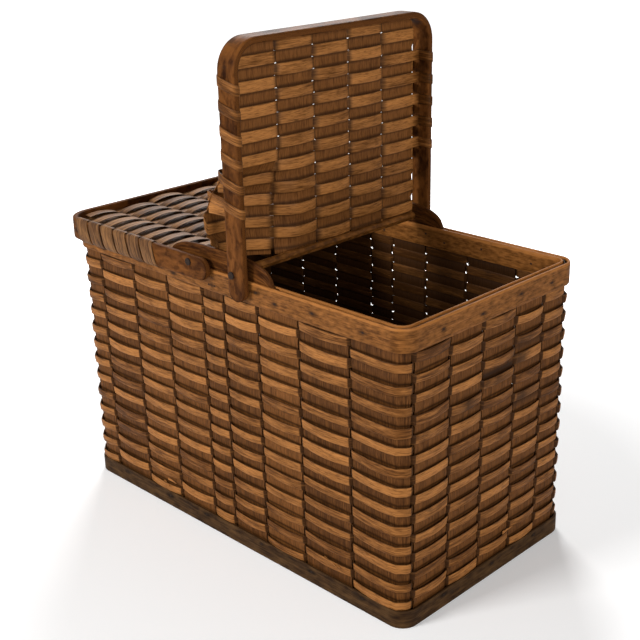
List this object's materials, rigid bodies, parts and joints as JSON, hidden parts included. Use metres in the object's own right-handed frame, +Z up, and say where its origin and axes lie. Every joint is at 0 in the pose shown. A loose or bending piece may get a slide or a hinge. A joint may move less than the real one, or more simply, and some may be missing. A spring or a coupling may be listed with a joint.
{
  "type": "splint picnic basket",
  "caption": "Rectangular woven splint basket with hooped rim and foot and two woven lids on bent wooden bows, hinged at crescent ears in the middle; one lid stands open.",
  "frame": {"origin": "bottom centre of the bounding box with the left lid closed and the right lid open; the foot hoop's lower face lies on Z = 0", "axes": "+Z up; X along the basket, +X to the end whose lid stands open; Y across it, the pivots' direction"},
  "size_m": [0.46, 0.258, 0.49],
  "materials": {
    "upright_splint": "aged ash splint, brown, satin",
    "weaver_splint": "aged ash splint, honey brown, satin",
    "rim_wood": "worn bent wood, light tan",
    "foot_wood": "worn bent wood, greyish brown",
    "crescent_wood": "reddish brown wood, satin",
    "bow_wood": "reddish brown bent wood, satin",
    "lid_warp": "aged ash splint, brown, satin",
    "lid_weaver": "aged ash splint, greyish brown, satin",
    "rod_wood": "brown dowel, satin",
    "nail_iron": "dark rusted iron"
  },
  "bodies": {
    "basket": {"back_crescent": "crescent_wood", "cross_splint_1": "upright_splint", "cross_splint_2": "upright_splint", "cross_splint_3": "upright_splint", "cross_splint_4": "upright_splint", "cross_splint_5": "upright_splint", "cross_splint_6": "upright_splint", "cross_splint_7": "upright_splint", "cross_splint_8": "upright_splint", "cross_splint_9": "upright_splint", "foot_inner_hoop": "foot_wood", "foot_nails": "nail_iron", "foot_outer_hoop": "foot_wood", "front_crescent": "crescent_wood", "long_splint_1": "upright_splint", "long_splint_2": "upright_splint", "long_splint_3": "upright_splint", "long_splint_4": "upright_splint", "long_splint_5": "upright_splint", "pivot_nails": "nail_iron", "rim_inner_hoop": "rim_wood", "rim_nails": "nail_iron", "rim_outer_hoop": "rim_wood", "weaver_01": "weaver_splint", "weaver_02": "weaver_splint", "weaver_03": "weaver_splint", "weaver_04": "weaver_splint", "weaver_05": "weaver_splint", "weaver_06": "weaver_splint", "weaver_07": "weaver_splint", "weaver_08": "weaver_splint", "weaver_09": "weaver_splint", "weaver_10": "weaver_splint", "weaver_11": "weaver_splint", "weaver_12": "weaver_splint", "weaver_13": "weaver_splint", "weaver_14": "weaver_splint", "weaver_15": "weaver_splint", "weaver_16": "weaver_splint", "weaver_17": "weaver_splint", "weaver_18": "weaver_splint", "weaver_19": "weaver_splint", "weaver_20": "weaver_splint", "weaver_21": "weaver_splint", "weaver_22": "weaver_splint", "weaver_23": "weaver_splint", "weaver_24": "weaver_splint", "weaver_25": "weaver_splint", "weaver_26": "weaver_splint"},
    "left_lid": {"left_bow": "bow_wood", "left_rod": "rod_wood", "left_warps": "lid_warp", "left_weavers": "lid_weaver"},
    "right_lid": {"right_bow": "bow_wood", "right_rod": "rod_wood", "right_warps": "lid_warp", "right_weavers": "lid_weaver"}
  },
  "joints": [
    {"name": "left_lid_hinge", "type": "hinge", "parent": "basket", "child": "left_lid", "pos_m": [-0.025, 0, 0.285], "axis": [0, 1, 0], "range_deg": [0, 90]},
    {"name": "right_lid_hinge", "type": "hinge", "parent": "basket", "child": "right_lid", "pos_m": [0.035, 0, 0.285], "axis": [0, 1, 0], "range_deg": [0, 90]}
  ]
}
